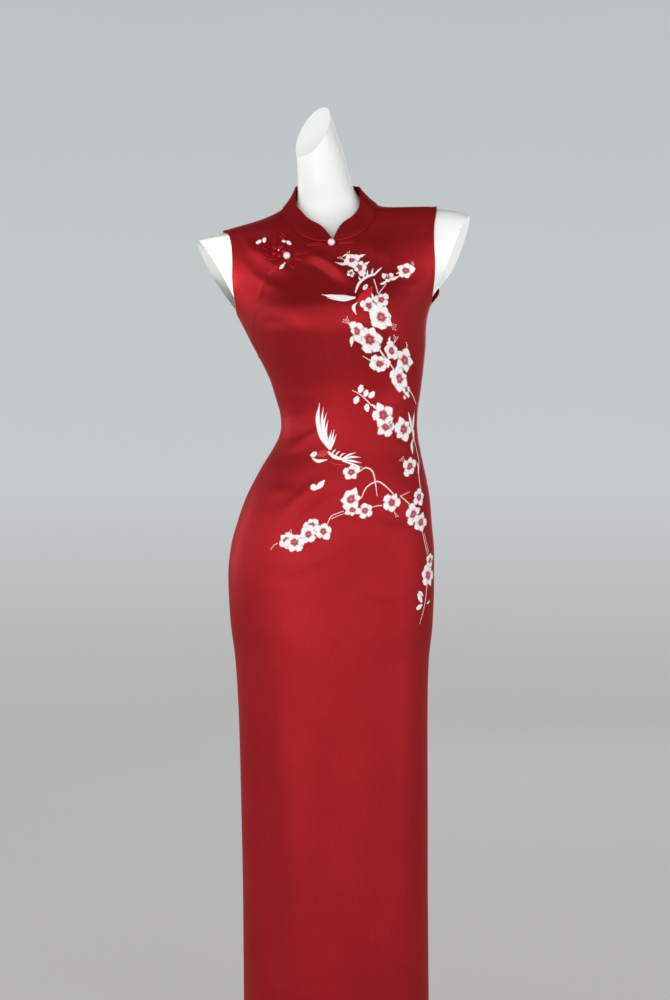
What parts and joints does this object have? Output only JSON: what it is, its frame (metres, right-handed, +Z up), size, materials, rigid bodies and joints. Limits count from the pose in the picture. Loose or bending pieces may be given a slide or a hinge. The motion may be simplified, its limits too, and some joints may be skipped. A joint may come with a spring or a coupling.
{
  "type": "cheongsam dress on a limbless dress form with a stand",
  "caption": "Long sleeveless cheongsam dress in red satin with a stand collar and pearl closings, worn by a limbless dress form on a pole and a round base.",
  "frame": {"origin": "centre of the base's underside, on the floor", "axes": "+Z up; the front of the dress faces -Y; +X is to the right of someone who looks at the front"},
  "size_m": [0.4424, 0.34, 1.5972],
  "materials": {
    "crimson_satin": "satin",
    "pearl": "pearl",
    "form_white": "satin",
    "stand_steel": "brushed"
  },
  "bodies": {
    "root": {"front_panel": "crimson_satin", "side_front": "crimson_satin", "back_panel": "crimson_satin", "stand_collar": "crimson_satin", "collar_bar_left": "crimson_satin", "collar_bar_right": "crimson_satin", "frog_flower": "crimson_satin", "frog_blossom": "crimson_satin", "frog_loop_upper": "crimson_satin", "frog_loop_lower": "crimson_satin", "frog_tail": "crimson_satin", "frog_stem": "crimson_satin", "collar_button": "pearl", "side_button": "pearl", "drop_bead_1": "pearl", "drop_bead_2": "pearl", "drop_bead_3": "pearl", "drop_bead_4": "pearl", "drop_bead_5": "pearl", "dress_form": "form_white", "stand_pole": "stand_steel", "stand_base": "stand_steel"}
  },
  "joints": []
}
